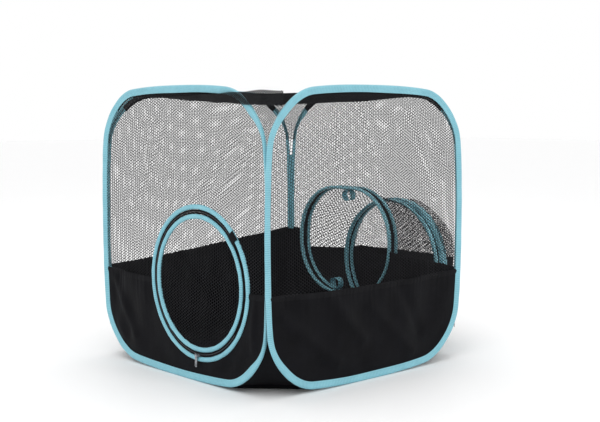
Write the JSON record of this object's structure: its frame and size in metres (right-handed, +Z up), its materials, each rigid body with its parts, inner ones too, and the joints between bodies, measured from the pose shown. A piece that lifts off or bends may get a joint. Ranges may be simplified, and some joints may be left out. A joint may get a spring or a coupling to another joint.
{
  "type": "pop-up mesh trap",
  "caption": "Folding pop-up crab trap: sprung hoop sides in fabric binding, net upper walls, cloth skirt, a zipped round door and a net entry sleeve opposite.",
  "frame": {"origin": "middle of the floor panel's underside, on the ground", "axes": "+X from the zipped door to the entry sleeve, +Y towards the side hinged to the door side's rear edge, +Z up"},
  "size_m": [0.5791, 0.4558, 0.476],
  "materials": {
    "aqua_binding": "woven polyester bias binding, soft sheen",
    "black_net": "open hexagonal polyester netting",
    "black_cloth": "plain woven polyester, faint sheen",
    "black_trim": "elastic tape and thread",
    "zip_tape": "woven zip tape",
    "zip_coil": "nylon coil",
    "slider_metal": "black enamel with bright worn edges",
    "spring_steel": "drawn wire"
  },
  "bodies": {
    "floor": {"floor_panel": "black_cloth", "roof_panel": "black_net", "floor_gussets": "black_cloth", "roof_gussets": "black_net", "front_seam": "black_trim"},
    "door_side": {"door_side_wire": "spring_steel", "door_side_ferrule": "spring_steel", "door_side_binding": "aqua_binding", "door_side_mesh": "black_net", "door_side_skirt": "black_cloth", "door_side_hem": "black_trim", "left_seam": "black_trim", "rim_wire": "spring_steel", "rim_binding": "aqua_binding", "rim_zip_tape": "zip_tape", "zip_coil": "zip_coil", "zip_end_tab": "zip_tape", "door_hinge_strip": "black_trim"},
    "door": {"door_wire": "spring_steel", "door_binding": "aqua_binding", "door_mesh": "black_net", "door_zip_tape": "zip_tape"},
    "slider": {"zip_slider": "slider_metal"},
    "pull": {"zip_pull": "slider_metal"},
    "front_side": {"front_side_wire": "spring_steel", "front_side_ferrule": "spring_steel", "front_side_binding": "aqua_binding", "front_side_mesh": "black_net", "front_side_skirt": "black_cloth", "front_side_hem": "black_trim", "right_seam": "black_trim"},
    "rear_side": {"rear_side_wire": "spring_steel", "rear_side_ferrule": "spring_steel", "rear_side_binding": "aqua_binding", "rear_side_mesh": "black_net", "rear_side_skirt": "black_cloth", "rear_side_hem": "black_trim", "rear_seam": "black_trim"},
    "sleeve_side": {"sleeve_side_wire": "spring_steel", "sleeve_side_ferrule": "spring_steel", "sleeve_side_binding": "aqua_binding", "sleeve_side_mesh": "black_net", "sleeve_side_skirt": "black_cloth", "sleeve_side_hem": "black_trim", "port_wire": "spring_steel", "port_binding": "aqua_binding", "port_zip_band": "zip_tape", "root_wire": "spring_steel", "root_binding": "aqua_binding", "sleeve_ties": "aqua_binding", "sleeve_net": "black_net", "sleeve_base": "black_cloth"},
    "mouth": {"mouth_wire": "spring_steel", "mouth_binding": "aqua_binding", "mouth_zip_band": "zip_tape", "end_wire": "spring_steel", "end_binding": "aqua_binding", "sleeve_cuff": "black_net", "cuff_cord": "black_trim"}
  },
  "joints": [
    {"name": "fold_door_side", "type": "hinge", "parent": "floor", "child": "door_side", "pos_m": [-0.222, -0.222, 0.238], "axis": [0, 0, 1], "range_deg": [0, 38], "deforming": ["floor_panel", "roof_panel", "floor_gussets", "roof_gussets"]},
    {"name": "fold_front_side", "type": "hinge", "parent": "floor", "child": "front_side", "pos_m": [-0.222, -0.222, 0.238], "axis": [0, 0, 1], "range_deg": [-38, 0]},
    {"name": "fold_rear_side", "type": "hinge", "parent": "door_side", "child": "rear_side", "pos_m": [-0.222, 0.222, 0.238], "axis": [0, 0, 1], "range_deg": [-76, 0]},
    {"name": "fold_sleeve_side", "type": "hinge", "parent": "front_side", "child": "sleeve_side", "pos_m": [0.222, -0.222, 0.238], "axis": [0, 0, 1], "range_deg": [0, 76]},
    {"name": "door_swing", "type": "hinge", "parent": "door_side", "child": "door", "pos_m": [-0.2198, -0.16659, 0.16], "axis": [0, 0, 1], "range_deg": [0, 105]},
    {"name": "zip_travel", "type": "hinge", "parent": "door_side", "child": "slider", "pos_m": [-0.22131, -0.05199, 0.16], "axis": [-0.9999, -0.0132, 0], "range_deg": [-215, 0]},
    {"name": "pull_swing", "type": "hinge", "parent": "slider", "child": "pull", "pos_m": [-0.22671, -0.05207, 0.0435], "axis": [0.0132, -0.9999, 0], "range_deg": [-150, 0]},
    {"name": "sleeve_collapse", "type": "slide", "parent": "sleeve_side", "child": "mouth", "axis": [-1, 0, 0], "range_m": [0, 0.026], "deforming": ["sleeve_net", "sleeve_base"]}
  ],
  "couplings": [
    {"joint": "fold_front_side", "follows": "fold_door_side", "ratio": -1},
    {"joint": "fold_rear_side", "follows": "fold_door_side", "ratio": -2},
    {"joint": "fold_sleeve_side", "follows": "fold_door_side", "ratio": 2}
  ]
}
